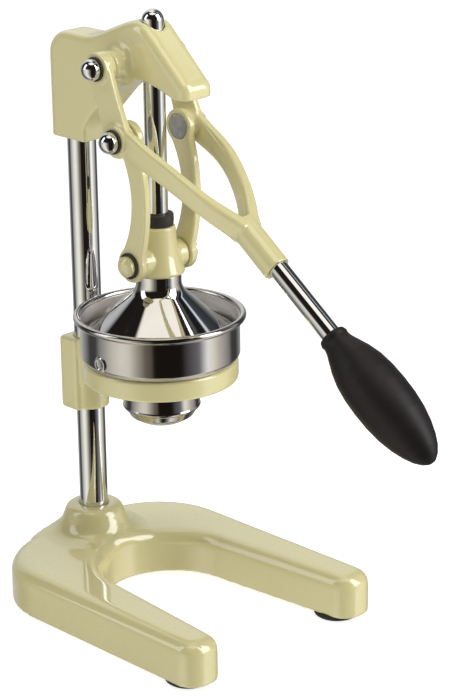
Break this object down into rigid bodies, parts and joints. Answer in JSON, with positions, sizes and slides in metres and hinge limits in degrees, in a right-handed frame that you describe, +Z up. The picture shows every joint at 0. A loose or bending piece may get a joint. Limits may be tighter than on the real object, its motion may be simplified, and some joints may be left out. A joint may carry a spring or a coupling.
{
  "type": "lever citrus press",
  "caption": "Hand lever citrus press: forked handle and links push a steel bell down over a strainer cone in a bowl on a U-shaped stand.",
  "frame": {"origin": "centre of the bounding box's bottom face, on the floor under the feet, at rest with the handle down", "axes": "+Z up along the post and the guide rod; -Y is the front, the way the handle points; +X is the right-hand side seen from behind, and the row is mirror-symmetric about X = 0 but for the lower caps on the right-hand pivots"},
  "size_m": [0.194, 0.3836, 0.4653],
  "materials": {
    "cream_enamel": "gloss enamel over a smooth casting",
    "chrome": "mirror chrome plate",
    "stainless": "polished, faint turning lines",
    "zinc_steel": "zinc plated, satin",
    "black_rubber": "matt",
    "dark_plastic": "satin, very dark brown",
    "bronze": "sintered bronze, matt"
  },
  "bodies": {
    "stand": {"base_casting": "cream_enamel", "foot_front_left": "black_rubber", "foot_front_right": "black_rubber", "foot_rear_left": "black_rubber", "foot_rear_right": "black_rubber", "foot_screws": "zinc_steel", "post": "chrome", "post_bolt": "zinc_steel", "post_washer": "zinc_steel", "head_casting": "cream_enamel", "guide_bush": "bronze", "head_grub_screws": "zinc_steel", "axle_bush_left": "bronze", "axle_bush_right": "bronze", "bowl_bracket": "cream_enamel", "bracket_grub_screw": "zinc_steel"},
    "lever": {"lever_yoke": "cream_enamel", "handle_tube": "chrome", "handle_pin": "zinc_steel", "handle_grip": "dark_plastic", "lever_axle": "chrome", "axle_washer_left": "zinc_steel", "axle_washer_right": "zinc_steel", "axle_cap_nut_left": "chrome", "axle_cap_nut_right": "chrome", "crank_pin_left": "chrome", "crank_pin_right": "chrome", "crank_washer_left": "zinc_steel", "crank_washer_right": "zinc_steel", "crank_cap_nut_left": "chrome", "crank_cap_nut_right": "chrome"},
    "left_link": {"link_left": "cream_enamel", "link_pin_left": "zinc_steel", "link_ring_left": "black_rubber", "link_cap_left": "cream_enamel"},
    "right_link": {"link_right": "cream_enamel", "link_pin_right": "zinc_steel", "link_ring_right": "black_rubber", "link_cap_right": "chrome"},
    "press_head": {"press_hub": "cream_enamel", "guide_rod": "chrome", "rubber_buffer": "black_rubber", "press_bell": "stainless", "bell_washer": "zinc_steel", "bell_nut": "zinc_steel"},
    "bowl": {"juice_bowl": "stainless", "bowl_studs": "stainless", "strainer_cone": "stainless"}
  },
  "joints": [
    {"name": "lever_swing", "type": "hinge", "parent": "stand", "child": "lever", "pos_m": [0, 0.099, 0.425], "axis": [-1, 0, 0], "range_deg": [0, 90]},
    {"name": "left_link_swing", "type": "hinge", "parent": "lever", "child": "left_link", "pos_m": [-0.02525, 0.0803, 0.375], "axis": [1, 0, 0], "range_deg": [0, 109.5]},
    {"name": "right_link_swing", "type": "hinge", "parent": "lever", "child": "right_link", "pos_m": [0.02525, 0.0803, 0.375], "axis": [1, 0, 0], "range_deg": [0, 109.5]},
    {"name": "press_slide", "type": "slide", "parent": "stand", "child": "press_head", "axis": [0, 0, 1], "range_m": [0, 0.0743]},
    {"name": "bowl_lift", "type": "slide", "parent": "stand", "child": "bowl", "axis": [0, 0, 1], "range_m": [0, 0.008]}
  ],
  "couplings": [
    {"joint": "left_link_swing", "follows": "lever_swing", "ratio": 1.2124},
    {"joint": "right_link_swing", "follows": "lever_swing", "ratio": 1.2124},
    {"joint": "press_slide", "follows": "lever_swing", "m_per_rad": 0.04709}
  ]
}
